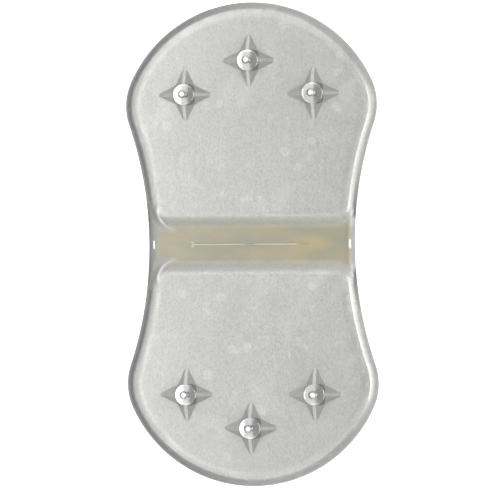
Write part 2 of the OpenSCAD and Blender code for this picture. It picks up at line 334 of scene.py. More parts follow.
class PadFinish(bpy.types.PropertyGroup):
    """Colours of the pad's finishes."""

    silver: colour("Silver ground", "Urethane over silver tape", (0.1595, 0.1605, 0.1527))
    clear: colour("Clear rim", "Bare clear urethane at the rim", (0.068, 0.069, 0.072))
    clear_web: colour("Clear web edge", "Urethane along the web's sides", (0.098, 0.099, 0.092))
    # Painted shade: the dark line along the thin edge by the waist
    edge: colour("Edge by the waist", "Dark line along the thin edge", (0.06, 0.061, 0.058))
    # Colour of the painted highlight round the rounded foot of the -X inner corners
    fillet: colour("Corner fillet", "Light line at the foot of a corner", (0.5, 0.5, 0.475))
    valley: colour("Valley wall", "Urethane past the end of the silver", (0.118, 0.1205, 0.112))
    boss: colour("Star boss", "Thick clear urethane of the star bosses", (0.172, 0.172, 0.161))
    # Painted shade: the colour of a boss's sides that face +X
    boss_shade: colour("Star boss, +X sides", "Sides of a boss that face +X", (0.105, 0.105, 0.098))
    # Painted light: the colour of the lands of arms that run along the pad
    land: colour("Ridge land", "Flat land along a boss's ridge", (0.175, 0.174, 0.165))
    amber: colour("Amber web", "Aged bare urethane of the hinge", (0.0885, 0.084, 0.059))
    # Painted glow: the deepest yellow of the glow patch, also mixed into the warmer patches
    glow: colour("Aged patch", "Deepest yellow of the aged urethane", (0.12, 0.1, 0.051))
    whitened: colour("Whitened crease", "Urethane whitened by folding", (0.25, 0.245, 0.2))
    metal: colour("Metal", "Polished stud metal", (0.245, 0.245, 0.24))
    tape: colour("Tape", "Silver grey foam tape", (0.302, 0.302, 0.295))
    liner: colour("Liner", "Release paper", (0.25, 0.203, 0.132))
    floor: colour("Floor", "Pale studio floor", (0.35, 0.35, 0.35))


# ---- plan of the pad -------------------------------------------------------------


def bearing(vector):
    """Angle of a vector in the plane, in radians."""
    return math.atan2(vector[1], vector[0])


def meeting(a, radius_a, b, radius_b):
    """The upper of the two points that lie radius_a from a and radius_b from b."""
    gap = np.linalg.norm(b - a)
    along = (radius_a**2 - radius_b**2 + gap**2) / (2 * gap)
    aside = math.sqrt(radius_a**2 - along**2)
    u = (b - a) / gap
    return a + along * u + aside * np.array([-u[1], u[0]])


def arc(centre, radius, start, stop, steps):
    """Points centre + radius (cos a, sin a) for even angles a. radius may be an array with
    one value for each point."""
    a = np.linspace(start, stop, steps + 1)
    around = np.stack([np.cos(a), np.sin(a)], axis=1)
    return np.asarray(centre) + around * np.reshape(radius, (-1, 1))


def both_sides(*parts):
    """Parts of a half outline, from near the middle line up its +X side, followed by their
    mirror image back down the -X side."""
    half = np.concatenate(parts)
    return np.concatenate([half, half[-2::-1] * (-1, 1)])


class Plan:
    """The pad's outline: on each quarter a hollow flank arc, a shoulder arc and an end arc,
    each tangent to the next, moved in by an inset along their common normals."""

    def __init__(self, s):
        self.s = s
        self.flank_c = np.array([s.waist_width / 2 + s.flank_radius, 0.0])
        self.cap_c = np.array([0.0, s.pad_length / 2 - s.cap_radius])
        self.shoulder_c = meeting(
            self.cap_c,
            s.cap_radius - s.shoulder_radius,
            self.flank_c,
            s.flank_radius + s.shoulder_radius,
        )
        self.flank_end = bearing(self.flank_c - self.shoulder_c)
        self.cap_start = bearing(self.shoulder_c - self.cap_c)
        self.web_half = s.web_length / 2

    def far_half(self, inset, turn):
        """Flank arc past the angle turn, then the shoulder and end arcs."""
        s = self.s
        return np.concatenate([
            arc(self.flank_c, s.flank_radius + inset, math.pi + turn, math.pi + self.flank_end,
                FLANK_STEPS)[1:],
            arc(self.shoulder_c, s.shoulder_radius - inset, self.flank_end, self.cap_start,
                SHOULDER_STEPS)[1:],
            arc(self.cap_c, s.cap_radius - inset, self.cap_start, math.pi / 2, CAP_STEPS)[1:],
        ])

    def inner_edge(self, reach, y):
        """Points along the straight inner edge at y, from near the middle line to reach."""
        return lift((np.arange(INNER_STEPS) + 0.5) / (INNER_STEPS + 0.5) * reach, y)

    def corner(self, y, inset, radius):
        """Centre of an inner corner that touches the line at y and the flank."""
        reach = self.s.flank_radius + inset + radius
        return np.array([self.flank_c[0] - math.sqrt(reach**2 - (y + radius) ** 2), y + radius])

    def round_outline(self, y, inset, radius):
        """A lobe's outline with round inner corners and its inner edge at y."""
        corner = self.corner(y, inset, radius)
        turn = bearing(self.flank_c - corner)
        return both_sides(
            self.inner_edge(corner[0], y),
            arc(corner, radius, -math.pi / 2, turn, CORNER_STEPS),
            self.far_half(inset, turn),
        )

    def square_outline(self, bevel, inset):
        """The same points on an outline that is cut off square at the web. The inset goes
        from bevel at the web to inset where the round corner would end."""
        half = CORNER_STEPS // 2
        flank_r = self.s.flank_radius
        inner = self.corner(self.web_half, inset, self.s.corner_radius)
        turn = bearing(self.flank_c - inner)
        first = -math.asin(self.web_half / (flank_r + bevel))
        end = self.flank_c[0] - (flank_r + bevel) * math.cos(first)
        radii = flank_r + np.linspace(bevel, inset, half + 1)
        return both_sides(
            self.inner_edge(inner[0], self.web_half),
            lift(np.linspace(inner[0], end, half + 1), self.web_half),
            arc(self.flank_c, radii, math.pi + first, math.pi + turn, half)[1:],
            self.far_half(inset, turn),
        )

    def edge_inset(self, z):
        """How far the edge has come in at height z: a bulging band, then a quarter sine."""
        s = self.s
        if z <= s.band_height:
            share = max(z - s.edge_height, 0.0) / (s.band_height - s.edge_height)
            return s.band_width * share**s.band_bulge
        share = min((z - s.band_height) / (s.lobe_height - s.band_height), 1.0)
        return s.band_width + s.soft_width * math.asin(share) / (math.pi / 2)

    def bevel_inset(self, z):
        """How far the low bevel beside the web has come in at height z."""
        s = self.s
        return s.band_width * max(z - s.edge_height, 0.0) / (s.web_thickness - s.edge_height)

    def valley_run(self, z):
        """How far the valley wall has moved along the pad at height z: a cosine ramp."""
        s = self.s
        share = min(max(z - s.web_thickness, 0.0) / (s.lobe_height - s.web_thickness), 1.0)
        return s.valley_width * math.acos(1 - 2 * share) / math.pi

    def rim_distance(self, points):
        """Distance of each point, in plan, from the pad's outer edge: from the flank arc,
        or from the shoulder or end arc where the point's bearing lies within that arc."""
        s = self.s
        p = np.abs(points[:, :2])
        flank = np.hypot(*(p - self.flank_c).T) - s.flank_radius
        from_shoulder = p - self.shoulder_c
        shoulder = s.shoulder_radius - np.hypot(*from_shoulder.T)
        from_cap = p - self.cap_c
        cap = s.cap_radius - np.hypot(*from_cap.T)
        on_shoulder = np.arctan2(from_shoulder[:, 1], from_shoulder[:, 0]) > self.flank_end
        on_shoulder &= p[:, 1] > self.shoulder_c[1] - s.shoulder_radius
        on_cap = np.arctan2(from_cap[:, 1], from_cap[:, 0]) > self.cap_start
        on_cap &= p[:, 1] > self.cap_c[1]
        return np.where(on_cap, cap, np.where(on_shoulder, shoulder, flank))


def lift(outline, z):
    """The points of an outline, each with z as one more coordinate."""
    return np.column_stack([outline, np.full(len(outline), z)])


def ring_faces(count, around, start=0):
    """Quads between count rings of around points each, wound so that they face outwards
    when each ring runs counter-clockwise and the next lies above it."""
    i = np.arange(around)
    k = np.arange(count - 1)[:, None]
    a = start + k * around + i
    b = start + k * around + (i + 1) % around
    return np.stack([a, b, b + around, a + around], axis=-1).reshape(-1, 4).tolist()


# ---- meshes ----------------------------------------------------------------------


def leaning(obj):
    """Four shares for each point, from its normal, by which the star bosses get painted light
    and shade: how near it is to the ridge of an arm that runs along the pad, which leans
    hardly at all across it and gets painted light, how near to the spines beside that ridge,
    which get painted shade, how far it leans towards +X, from 0 where it faces -X to 1 where
    it faces +X, the +X side getting painted shade, and how steep it is, as the collars are,
    steep +X faces getting more painted shade."""
    mesh = obj.data
    normals = np.empty(len(mesh.vertices) * 3, dtype=np.float32)
    mesh.vertex_normals.foreach_get("vector", normals)
    across, along, up = normals[0::3], normals[1::3], normals[2::3]
    land, spine = (
        smooth_step((LEAN_FADE[1] - np.hypot(x / lean[0], along / lean[1])) / np.ptp(LEAN_FADE))
        for x, lean in ((across, RIDGE_LEAN), (np.abs(across) - SPINE_AT, SPINE_LEAN))
    )
    steep = smooth_step((STEEP[0] - up) / (STEEP[0] - STEEP[1]))
    return {"land": land, "spine": spine, "lean": 0.5 + 0.5 * across, "steep": steep}


def set_values(obj, **attributes):
    """Stores numbers on the points of a piece."""
    for key, values in attributes.items():
        layer = obj.data.attributes.new(key, "FLOAT", "POINT")
        layer.data.foreach_set("value", np.asarray(values, dtype=np.float32))


def make_object(name, points, faces, smooth_angle=None, attributes=None, sharp=()):
    """A mesh object at the origin, its place in its points. Faces are smooth, with sharp
    edges where they meet at more than smooth_angle degrees and between the points whose
    numbers sharp lists."""
    mesh = bpy.data.meshes.new(name)
    mesh.from_pydata(np.asarray(points).tolist(), [], faces)
    mesh.validate()
    mesh.shade_smooth()
    if smooth_angle is not None:
        mesh.set_sharp_from_angle(angle=math.radians(smooth_angle))
    if len(sharp):
        ends = np.empty(len(mesh.edges) * 2, dtype=np.int32)
        mesh.edges.foreach_get("vertices", ends)
        crisp = np.empty(len(mesh.edges), dtype=bool)
        mesh.edges.foreach_get("use_edge_sharp", crisp)
        crisp |= np.isin(ends, sharp).reshape(-1, 2).all(axis=1)
        mesh.edges.foreach_set("use_edge_sharp", crisp)
    mesh.update()
    obj = bpy.data.objects.new(name, mesh)
    bpy.context.scene.collection.objects.link(obj)
    set_values(obj, **(attributes or {}))
    return obj


def finish_piece(obj, material, node, body=None):
    """Gives a piece its finish, hides the imported node that it stands in for, and attaches it to
    the body it rides on, if one.
    """
    obj.data.materials.append(material)
    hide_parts(node)
    if body:
        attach(obj, body)


def settings():
    """The scene's property groups."""
    return bpy.context.scene.stomp_pad


def shading_values(plan, points):
    """Six measures at each point: the share of the clear band along the rim, which is shifted
    to paint shade along the -X side, the share of its rougher parts beside the web's -X end,
    which are painted shade too, how deep the point lies in the valley, from 0 at a lobe's flat
    top through 1 at the web's end, how strongly the painted highlight round the rounded foot
    of a lobe's -X inner corner shows there, how near it is to the waist, and the share of the
    painted shade line along the very edge beside the waist."""
    s = plan.s
    # Shifting the silver ground towards +X paints the clear, darker rim wider on the -X side:
    # painted shade
    ground = plan.rim_distance(points - (RIM_SHADE_SHIFT, 0, 0)) - GROUND_INSET
    rim = 1 - smooth_step(ground / GROUND_BLUR + 0.5)
    across, along = np.abs(points[:, :2]).T
    valley = 1 - (along - plan.web_half) / s.valley_width
    centre = plan.corner(plan.web_half - FILLET_DROP, FILLET_INSET, FILLET_RADIUS)
    out = np.hypot(across - centre[0], along - centre[1]) - FILLET_RADIUS
    turn = np.arctan2(across - centre[0], centre[1] - along)
    corner = smooth_step(turn / FILLET_FADE) * smooth_step((math.pi / 2 - turn) / FILLET_FADE + 1)
    corner *= points[:, 0] < 0
    strength = FILLET_STRENGTH[0] + FILLET_STRENGTH[1] * smooth_step(turn / FILLET_FADE - 1.5)
    strength *= smooth_step((math.pi / 2 - turn) / FILLET_FADE + 0.7)
    fillet = np.exp(-((out / FILLET_BLUR) ** 2)) * corner * strength
    wedge = corner * smooth_step((along - WEDGE_START) / WEDGE_FADE)
    wedge *= smooth_step(out / GROUND_BLUR + 0.3)
    waist = smooth_step(1 - (along - WAIST_NEAR) / WAIST_FADE)
    edge = plan.rim_distance(points)
    band = smooth_step((WEB_BAND - edge) / WEB_BLUR + 0.5) * (points[:, 0] < 0)
    band *= smooth_step((WEB_BAND * 2 - along) / WEB_BAND)
    # The -X wedge and band: painted shade in the clear rim's colour, and rougher
    dull_and_shaded = np.maximum(wedge, band)
    rim = np.maximum(rim, dull_and_shaded)
    return {
        "rim": rim, "dull_and_shaded": dull_and_shaded, "valley": np.maximum(valley, 0), "fillet": fillet,
        "waist": waist, "edge": waist * (1 - smooth_step(edge / EDGE_LINE - 0.5)),
    }


def stud_spots(boss):
    """Stud axes of the front lobe by side name, in plan."""
    return {
        "left": (-boss.side_x, boss.side_y),
        "middle": (0.0, boss.middle_y),
        "right": (boss.side_x, boss.side_y),
    }


def smooth_step(x):
    """3x^2 - 2x^3 for x held between 0 and 1."""
    x = np.clip(x, 0.0, 1.0)
    return x * x * (3 - 2 * x)


def boss_surface(boss, skirt_radius):
    """A star boss about its own axis on the plane z = 0, as rings of points.

    The two parameters are the direction a around the axis and the share t from the
    foot to the skirt. The foot lies at the radius where the direction meets an arm's
    straight side, or the collar. Along an arm, at distance x from the axis and y off
    its middle, the ridge rises straight from the tip to the skirt, and the height is the
    ridge's height times how far y has come from the foot's half width to the ridge's
    land. The collar is a steep cone up to the skirt.
    """
    share = np.linspace(0, 1, ARM_STEPS + 1)
    side = math.pi / 4 * share**ARM_CROWDING
    quarter = np.concatenate([-side[:0:-1], side])[:-1]
    a = np.concatenate([quarter + turn * math.pi / 2 for turn in range(4)])
    off = np.tile(quarter, 4)

    reach, taper = boss.arm_reach, boss.arm_taper
    straight = (boss.arm_tip + reach * taper) / (np.tan(np.abs(off)) + taper)
    corner = boss.collar_radius
    foot = np.maximum(np.minimum(straight, reach) / np.cos(off), corner)

    t = np.linspace(0, 1, BOSS_STEPS + 1)[:, None]
    collar_top = skirt_radius + (corner - skirt_radius) * COLLAR_SHARE
    c = np.linspace(0, 1, COLLAR_STEPS + 1)[1:, None]
    collar = collar_top + (skirt_radius - collar_top) * c
    collar = np.broadcast_to(collar, (COLLAR_STEPS, len(a)))
    r = np.concatenate([foot + (collar_top - foot) * t, collar])
    x = r * np.cos(off)
    y = np.abs(r * np.sin(off))
    ridge = boss.collar_height * np.clip((reach - x) / (reach - skirt_radius), 0, 1)
    half = boss.arm_tip + (reach - x) * taper
    land = np.minimum(boss.ridge_land, half * LAND_SHARE)
    arm = ridge * np.clip((half - y) / (half - land), 0, 1)
    cone = (corner - r) / (corner - skirt_radius) * boss.collar_height
    z = np.maximum(arm, cone)
    z[0] = 0.0
    return np.stack([r * np.cos(a), r * np.sin(a), z], axis=-1)


def inside(points, loop):
    """Whether each point lies inside a closed loop, which then crosses the ray from the
    point towards +X an odd number of times."""
    x, y = points[:, :1], points[:, 1:]
    ax, ay = loop.T
    bx, by = np.roll(loop, -1, axis=0).T
    crosses = (ay > y) != (by > y)
    reach = ax + (y - ay) / np.where(by == ay, 1.0, by - ay) * (bx - ax)
    return (crosses & (reach > x)).sum(axis=1) % 2 == 1


def fill_plan(outer, holes, lines=(), grid=()):
    """Triangles over the plane region inside outer and outside the holes, through some
    lines and a grid of points, with no point added. Returns the points, loop by loop, and
    the faces as indices into them."""
    loops = [outer] + holes
    edges = []
    start = 0
    for stretch in loops + list(lines):
        closed = start < sum(map(len, loops))
        index = np.arange(len(stretch) - (not closed))
        edges += (np.stack([index, (index + 1) % len(stretch)], axis=1) + start).tolist()
        start += len(stretch)
    points = np.concatenate(loops + list(lines) + ([grid] if len(grid) else []))
    verts, _, faces, origin, _, _ = delaunay_2d_cdt(points.tolist(), edges, [], 1, 1e-9)
    if len(verts) != len(points):
        raise RuntimeError("points of a plan fall together")
    back = np.array([o[0] for o in origin])
    faces = back[np.array(faces)]
    centres = points[faces].mean(axis=1)
    keep = ~np.any([inside(centres, hole) for hole in holes], axis=0)
    return points, faces[keep].tolist()


def lobe_surface(s, boss, skirt_radius):
    """Points and faces of the front lobe's moulding, 1 at each point that lies on the lobe
    itself or 0 on a boss, and the numbers of the points round the bosses' feet.

    The edge is a stack of rings, each the outline moved in by a formula of its height.
    The flat top is filled between the last ring and the feet of the star bosses.
    """
    plan = Plan(s)
    plate = s.edge_height + (s.web_thickness - s.edge_height) * np.linspace(0, 1, BEVEL_STEPS + 1)
    ramp = (1 - np.cos(np.pi * np.linspace(RAMP_START, 1, RAMP_STEPS))) / 2
    ramp = s.web_thickness + (s.lobe_height - s.web_thickness) * ramp
    soft = np.sin(np.linspace(0, np.pi / 2, SOFT_STEPS))
    soft = s.band_height + (s.lobe_height - s.band_height) * soft
    raised = np.concatenate([ramp[ramp < s.band_height - RING_GAP], soft])
    rings = [lift(plan.square_outline(0.0, 0.0), 0.0)]
    for z in plate:
        rings.append(lift(plan.square_outline(plan.bevel_inset(z), plan.edge_inset(z)), z))
    for z in raised:
        inset = plan.edge_inset(z)
        foot = plan.web_half + plan.valley_run(z)
        rings.append(lift(plan.round_outline(foot, inset, s.corner_radius - inset), z))
    around = len(rings[0])
    points = np.concatenate(rings)
    faces = [list(range(around))[::-1]] + ring_faces(len(rings), around)

    star = boss_surface(boss, skirt_radius)
    up, turn, _ = star.shape
    ground = [np.ones(len(points))]
    start = len(points)
    top_start = start - around
    feet = []
    for x, y in stud_spots(boss).values():
        placed = star + np.array([x, y, s.lobe_height])
        feet.append(placed[0, :, :2])
        faces += ring_faces(up, turn, start)
        last = start + (up - 1) * turn
        faces.append(list(range(last, last + turn)))
        points = np.concatenate([points, placed.reshape(-1, 3)])
        ground += [np.ones(turn), np.zeros((up - 1) * turn)]
        start += up * turn
    numbers = np.concatenate(
        [np.arange(top_start, top_start + around)]
        + [top_start + around + k * up * turn + np.arange(turn) for k in range(3)]
    )
    _, flat = fill_plan(rings[-1][:, :2], feet)
    faces += numbers[np.array(flat)].tolist()
    points[:, 2] += s.base_height
    return points, faces, np.concatenate(ground), numbers[around:]


def web_surface(s):
    """Points, faces and shading values of the hinge web.

    Its plan is triangulated between the flanks, the cuts at the lobes and the relief
    slots, through an even grid of points. The top is lifted by a formula of x and y:
    a bevel along each flank and a notch along the fold line.
    """
    plan = Plan(s)
    half = plan.web_half
    turn = math.asin(half / s.flank_radius)
    flank = arc(plan.flank_c, s.flank_radius, math.pi + turn, math.pi - turn, WEB_ROWS)
    flank[0, 1], flank[-1, 1] = -half, half
    cut = lift(np.linspace(flank[-1, 0], -flank[-1, 0], WEB_COLUMNS + 1)[1:-1], half)
    outer = np.concatenate([flank, cut, -flank, -cut])

    straight = (s.slot_length - s.slot_width) / 2
    centre = s.waist_width / 2 - s.slot_wall - s.slot_width / 2
    slot = np.concatenate([
        arc((centre, straight), s.slot_width / 2, 0, math.pi, SLOT_STEPS),
        arc((centre, -straight), s.slot_width / 2, math.pi, 2 * math.pi, SLOT_STEPS),
    ])
    slots = [slot, -slot]

    gx, gy = (np.linspace(-1, 1, steps + 1)[1:-1] for steps in GRID_STEPS)
    gx, gy = np.meshgrid(gx, gy * half)
    width = plan.flank_c[0] - np.sqrt(s.flank_radius**2 - gy**2)
    gx = gx * width
    grid = np.stack([gx, gy], axis=-1).reshape(-1, 2)
    clear = np.hypot(np.abs(grid[:, 0]) - centre, np.maximum(np.abs(grid[:, 1]) - straight, 0))
    grid = grid[clear > s.slot_width / 2 + SLOT_GAP]
    crease = np.array([s.crease_length, s.crease_width]) / 2
    near = np.linspace(-1, 1, CREASE_STEPS + 1) * crease[0]
    lines = [lift(near, k * crease[1]) for k in (-1, 0, 1)]
    grid = grid[(np.abs(grid) > crease + CREASE_GAP).any(axis=1)]
    flat, top = fill_plan(outer, slots, lines, grid)

    x, y = flat.T
    inset = np.hypot(plan.flank_c[0] - np.abs(x), y) - s.flank_radius
    bevel = np.clip(inset / s.band_width, 0, 1)
    z = s.edge_height + (s.web_thickness - s.edge_height) * bevel
    ends = np.clip((s.crease_length / 2 - np.abs(x)) / CREASE_RUN, 0, 1)
    crease = np.clip(1 - np.abs(y) / (s.crease_width / 2), 0, 1) * ends
    z -= s.crease_depth * crease
    count = len(flat)
    points = np.concatenate([np.column_stack([flat, z]), lift(flat, 0.0)])
    faces = top + [[i + count for i in face[::-1]] for face in top]
    start = 0
    for loop in [outer] + slots:
        index = np.arange(len(loop))
        i, j = start + index, start + (index + 1) % len(loop)
        walls = np.stack([i + count, j + count, j, i], axis=1)
        faces += walls.tolist() if start == 0 else walls[:, ::-1].tolist()
        start += len(loop)
    values = {**shading_values(plan, points), "crease": np.tile(whitening(s, x, y, crease), 2)}
    points[:, 2] += s.base_height
    return points, faces, values


def whitening(s, x, y, crease):
    """How whitened the web is at each point: along the notch, less in one place near the
    middle and past one end, and along two short branches that fork off the other end."""
    end = -s.crease_length / 2
    gap = np.exp(-(((x - GAP_AT) / GAP_SIZE) ** 2))
    past = smooth_step((x + end + TAIL_LENGTH) / TAIL_FADE)
    along = crease * (1 - GAP_LOSS * gap) * (1 - TAIL_LOSS * past)
    fork = np.abs(np.abs(y) - (end + FORK_ROOT - x) * FORK_SLOPE) / FORK_WIDTH
    near = smooth_step((end + FORK_IN[0] - x) / FORK_IN[1])
    near *= smooth_step((x - end + FORK_OUT[0]) / FORK_OUT[1])
    return np.maximum(along, FORK_SHARE * np.exp(-(fork**2)) * near)


def closed_rings(rings):
    """Points and faces of a stack of rings, closed by a flat face at each end."""
    count, around = rings.shape[:2]
    faces = [list(range(around))[::-1]] + ring_faces(count, around)
    faces.append(list(range((count - 1) * around, count * around)))
    return rings.reshape(-1, 3), faces


def turned_surface(profile):
    """A half section of points (radius, height), turned about Z: each point becomes a ring
    of radius (cos a, sin a) at its height. The first and last lie close to the axis."""
    a = np.linspace(0, 2 * np.pi, TURN_STEPS, endpoint=False)
    r, z = profile.T[:, :, None]
    return closed_rings(np.stack([r * np.cos(a), r * np.sin(a), z + 0 * a], axis=-1))


def stud_profile(stud, depth):
    """Half section of a stud, from the shank's foot to the top of the ball: a coned skirt
    with a rounded rim, a hollow quarter-ellipse flare, a neck and a ball."""
    shank, skirt = stud.shank_radius, stud.skirt_radius
    rim = stud.skirt_thickness / 2
    edge = np.linspace(-np.pi / 2, np.pi / 2, RIM_STEPS + 1)
    flare = np.linspace(0, np.pi / 2, FLARE_STEPS + 1)
    meet = math.asin(stud.neck_radius / stud.ball_radius)
    ball = np.linspace(np.pi - meet, 0.0, BALL_STEPS + 1)
    return np.concatenate([
        [[AXIS_GAP, -depth], [shank - SHANK_CHAMFER, -depth], [shank, SHANK_CHAMFER - depth]],
        [[shank, 0.0]],
        np.column_stack([skirt - rim + rim * np.cos(edge), rim + rim * np.sin(edge)]),
        np.column_stack([
            stud.flare_radius - (stud.flare_radius - stud.neck_radius) * np.sin(flare),
            stud.skirt_thickness + stud.cone_rise + stud.flare_height * (1 - np.cos(flare)),
        ]),
        np.column_stack([
            np.maximum(stud.ball_radius * np.sin(ball), AXIS_GAP),
            stud.ball_rise + stud.ball_radius * np.cos(ball),
        ]),
    ])


def sheet_surface(outline, low, high, rounding):
    """A flat sheet over an outline, from low to high, with its two rims rounded off by
    quarter circles: each ring is the outline drawn in towards its middle."""
    turn = np.linspace(0, np.pi / 2, SHEET_STEPS + 1)
    inset = rounding * (1 - np.sin(turn))
    rise = rounding * (1 - np.cos(turn))
    inward = outline - outline.mean(axis=0)
    inward /= np.linalg.norm(inward, axis=1, keepdims=True)
    return closed_rings(np.stack([
        lift(outline - inward * i, z)
        for i, z in zip([*inset, *inset[::-1]], [*(low + rise), *(high - rise[::-1])])
    ]))


# ---- materials -------------------------------------------------------------------


class Nodes:
    """The node tree of a new material or world, and the shader that it feeds."""

    def __init__(self, owner, shader, place):
        owner.use_nodes = True
        self.tree = owner.node_tree
        self.shader = self.tree.nodes[shader]
        self.place = self.add("TexCoord", {}).outputs[place]

    def add(self, kind, inputs, **options):
        """A node of that kind, with its options and its inputs set: each input, by name or
        place, to a source that it is linked to, a number, a vector or a colour."""
        node = self.tree.nodes.new("ShaderNode" + kind)
        for key, value in options.items():
            setattr(node, key, value)
        for key, source in inputs.items():
            self.put(node.inputs[key], source)
        return node

    def put(self, socket, source):
        """Links a source to an input, or sets the input's value."""
        if hasattr(source, "links"):
            self.tree.links.new(source, socket)
        else:
            socket.default_value = (*source, 1.0) if socket.type == "RGBA" else source

    def feed(self, name, source):
        """Gives an input of the shader its source or value."""
        self.put(self.shader.inputs[name], source)

    def value(self, name):
        """A number stored on the points of the piece."""
        return self.add("Attribute", {}, attribute_name=name).outputs["Fac"]

    def stretched(self, scale, turn=0.0, shift=(0, 0, 0)):
        """Coordinates scaled along each axis, in cycles per metre, turned and shifted."""
        inputs = {"Vector": self.place, "Scale": scale, "Rotation": (0, 0, turn), "Location": shift}
        return self.add("Mapping", inputs).outputs["Vector"]

    def noise(self, name):
        """The smooth noise of that name, between 0 and 1."""
        scale, turn, detail, rough = NOISES[name]
        inputs = {"Vector": self.stretched(scale, turn), "Scale": 1.0}
        return self.add("TexNoise", {**inputs, "Detail": detail, "Roughness": rough}).outputs["Fac"]

    def cells(self, vector):
        """Distance to the nearest cell's centre, and the cell's own colour."""
        node = self.add("TexVoronoi", {"Vector": vector, "Scale": 1.0})
        return node.outputs["Distance"], node.outputs["Color"]

    def math(self, operation, a, b):
        """A sum, product or other operation on two numbers or sources."""
        return self.add("Math", {0: a, 1: b}, operation=operation).outputs[0]

    def ramp(self, source, low, high, out_low=0.0, out_high=1.0, kind="SMOOTHSTEP"):
        """Maps low..high to out_low..out_high and holds it there."""
        inputs = {0: source, 1: low, 2: high, 3: out_low, 4: out_high}
        return self.add("MapRange", inputs, interpolation_type=kind).outputs["Result"]

    def mix(self, factor, a, b, blend="MIX"):
        """Mixes two colours, each a value or a source."""
        inputs = {0: factor, 6: a, 7: b}
        return self.add("Mix", inputs, data_type="RGBA", blend_type=blend).outputs[2]

    def shade(self, colour, source, low, high):
        """A colour made darker and lighter, by the factors low and high, as source goes 0 to 1."""
        factor = self.ramp(source, 0.0, 1.0, low, high, "LINEAR")
        grey = self.add("CombineColor", dict.fromkeys(("Red", "Green", "Blue"), factor))
        return self.mix(1.0, colour, grey.outputs["Color"], "MULTIPLY")

    def bump(self, height, distance, **under):
        """A normal from a height between 0 and 1 that stands for a distance in metres, over
        another Normal if one is given."""
        return self.add("Bump", {"Height": height, "Distance": distance, **under}).outputs["Normal"]


def new_material(name, **values):
    """A new material and its nodes, with values set on its shader."""
    material = bpy.data.materials.new(name)
    n = Nodes(material, "Principled BSDF", "Object")
    for key, value in values.items():
        n.feed(key.replace("_", " "), value)
    return material, n


def chips_of(n):
    """Where thin chips show: the middles of a few cells with torn outlines."""
    tear = n.add("TexNoise", {"Vector": n.place, "Scale": CHIP_TEAR_SCALE}).outputs["Color"]
    torn = {0: tear, 1: (CHIP_TEAR,) * 3, 2: n.stretched(CHIP_CELLS)}
    middle, own = n.cells(n.add("VectorMath", torn, operation="MULTIPLY_ADD").outputs[0])
    pick = n.add("SeparateColor", {0: own}).outputs[0]
    return n.math("MULTIPLY", n.ramp(pick, 0.9, 0.91), n.ramp(middle, 0.46, 0.38))


def flecks_of(n):
    """Short white wisps in three directions, in some places, and trapped air in others."""
    wisps = [n.ramp(n.noise(name), 0.64, 0.74) for name in ("wisps_a", "wisps_b", "wisps_c")]
    wisps = n.math("MAXIMUM", n.math("MAXIMUM", wisps[0], wisps[1]), wisps[2])
    wisps = n.math("MULTIPLY", wisps, n.ramp(n.noise("wisp_places"), 0.42, 0.66))
    air = n.ramp(n.cells(n.stretched(AIR_CELLS))[0], 0.2, 0.08)
    return n.math("ADD", wisps, n.math("MULTIPLY", air, n.ramp(n.noise("air_places"), 0.5, 0.68)))


def amber_with_glow(n, finish, clouds):
    """Amber that is warmer in patches, with a painted glow, its deepest yellow, in one patch with a
    clouded edge.
    """
    amber = n.shade(finish.amber, n.noise("ageing"), 0.88, 1.12)
    warm = n.ramp(n.noise("warmth"), 0.42, 0.66)
    amber = n.mix(n.math("MULTIPLY", warm, 0.5), amber, finish.glow)
    patch = n.stretched(GLOW_PATCH_SCALE, shift=GLOW_PATCH_PLACE)
    spread = n.add("VectorMath", {0: patch}, operation="LENGTH").outputs["Value"]
    spread = n.math("ADD", spread, n.ramp(clouds, 0.0, 1.0, -0.25, 0.25))
    return n.mix(n.ramp(spread, *GLOW_PATCH_FADE), amber, finish.glow)


